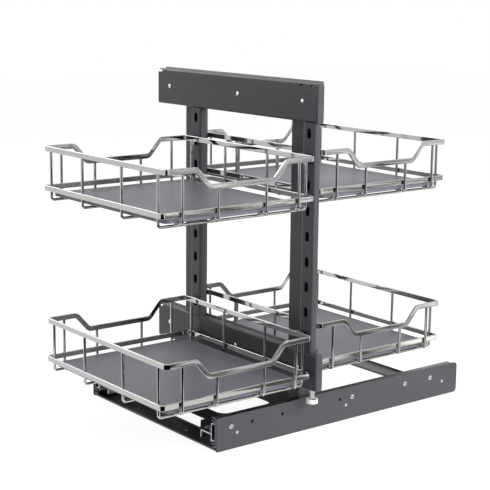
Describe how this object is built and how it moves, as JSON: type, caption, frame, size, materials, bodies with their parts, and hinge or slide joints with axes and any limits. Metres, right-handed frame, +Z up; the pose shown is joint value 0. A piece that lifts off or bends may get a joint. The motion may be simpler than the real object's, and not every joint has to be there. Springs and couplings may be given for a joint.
{
  "type": "blind corner organizer",
  "caption": "Pull-out blind corner organizer with a steel base, slotted posts and chrome wire baskets; the front frame slides sideways on ball-bearing slides.",
  "frame": {"origin": "middle of the four floor screw holes, on the cabinet floor", "axes": "+X to the right seen from the front, +Y to the back, +Z up"},
  "size_m": [0.379, 0.5672, 0.487],
  "materials": {
    "grey_coat": "satin dark grey powder coat",
    "black_coat": "satin black powder coat",
    "zinc": "bright zinc plating",
    "chrome_wire": "polished chrome plating",
    "floor_board": "smooth grey laminate, satin",
    "white_nylon": "white nylon, slight gloss"
  },
  "bodies": {
    "base": {"base_panel_left": "grey_coat", "base_panel_right": "grey_coat", "base_front_rail": "black_coat", "base_rear_rail": "black_coat", "base_rail_screws": "zinc", "base_slide_rivets": "zinc", "pull_slide_outer_left": "zinc", "pull_slide_outer_right": "zinc"},
    "pull_outer_balls": {"pull_slide_outer_balls": "zinc"},
    "pull_middle": {"pull_slide_middle_left": "zinc", "pull_slide_middle_right": "zinc"},
    "pull_inner_balls": {"pull_slide_inner_balls": "zinc"},
    "carriage": {"pull_slide_inner_left": "zinc", "pull_slide_inner_right": "zinc", "runner_bracket_left": "zinc", "runner_bracket_right": "zinc", "carriage_plate": "black_coat", "carriage_screws": "zinc", "rear_post_left": "grey_coat", "rear_post_right": "grey_coat", "rear_top_channel": "grey_coat", "rear_bottom_channel": "grey_coat", "rear_frame_rivets": "zinc", "side_slide_outer_top": "zinc", "side_slide_outer_bottom": "zinc", "upper_rear_top_rail": "chrome_wire", "upper_rear_bottom_rail": "chrome_wire", "upper_rear_wires": "chrome_wire", "upper_rear_floor": "floor_board", "upper_rear_hooks": "chrome_wire", "lower_rear_top_rail": "chrome_wire", "lower_rear_bottom_rail": "chrome_wire", "lower_rear_wires": "chrome_wire", "lower_rear_floor": "floor_board", "lower_rear_hooks": "chrome_wire"},
    "side_outer_balls": {"side_slide_outer_balls": "zinc"},
    "side_middle": {"side_slide_middle_top": "zinc", "side_slide_middle_bottom": "zinc"},
    "side_inner_balls": {"side_slide_inner_balls": "zinc"},
    "front_frame": {"side_slide_inner_top": "zinc", "side_slide_inner_bottom": "zinc", "front_top_plate": "grey_coat", "front_bottom_plate": "grey_coat", "front_post_left": "grey_coat", "front_post_right": "grey_coat", "front_frame_rivets": "zinc", "guide_roller_bolt": "zinc", "upper_front_top_rail": "chrome_wire", "upper_front_bottom_rail": "chrome_wire", "upper_front_wires": "chrome_wire", "upper_front_floor": "floor_board", "upper_front_hooks": "chrome_wire", "lower_front_top_rail": "chrome_wire", "lower_front_bottom_rail": "chrome_wire", "lower_front_wires": "chrome_wire", "lower_front_floor": "floor_board", "lower_front_hooks": "chrome_wire"},
    "guide_roller": {"guide_roller": "white_nylon"}
  },
  "joints": [
    {"name": "pull_out", "type": "slide", "parent": "base", "child": "carriage", "axis": [0, -1, 0], "range_m": [0, 0.44]},
    {"name": "pull_middle_run", "type": "slide", "parent": "base", "child": "pull_middle", "axis": [0, -1, 0], "range_m": [0, 0.22]},
    {"name": "pull_outer_balls_run", "type": "slide", "parent": "base", "child": "pull_outer_balls", "axis": [0, -1, 0], "range_m": [0, 0.11]},
    {"name": "pull_inner_balls_run", "type": "slide", "parent": "base", "child": "pull_inner_balls", "axis": [0, -1, 0], "range_m": [0, 0.33]},
    {"name": "side_slide", "type": "slide", "parent": "carriage", "child": "front_frame", "axis": [1, 0, 0], "range_m": [0, 0.3]},
    {"name": "side_middle_run", "type": "slide", "parent": "carriage", "child": "side_middle", "axis": [1, 0, 0], "range_m": [0, 0.15]},
    {"name": "side_outer_balls_run", "type": "slide", "parent": "carriage", "child": "side_outer_balls", "axis": [1, 0, 0], "range_m": [0, 0.075]},
    {"name": "side_inner_balls_run", "type": "slide", "parent": "carriage", "child": "side_inner_balls", "axis": [1, 0, 0], "range_m": [0, 0.225]},
    {"name": "roller_spin", "type": "hinge", "parent": "front_frame", "child": "guide_roller", "pos_m": [0.1732, -0.079, 0.048], "axis": [0, 0, 1], "continuous": true}
  ],
  "couplings": [
    {"joint": "pull_middle_run", "follows": "pull_out", "ratio": 0.5},
    {"joint": "pull_outer_balls_run", "follows": "pull_out", "ratio": 0.25},
    {"joint": "pull_inner_balls_run", "follows": "pull_out", "ratio": 0.75},
    {"joint": "side_middle_run", "follows": "side_slide", "ratio": 0.5},
    {"joint": "side_outer_balls_run", "follows": "side_slide", "ratio": 0.25},
    {"joint": "side_inner_balls_run", "follows": "side_slide", "ratio": 0.75}
  ]
}
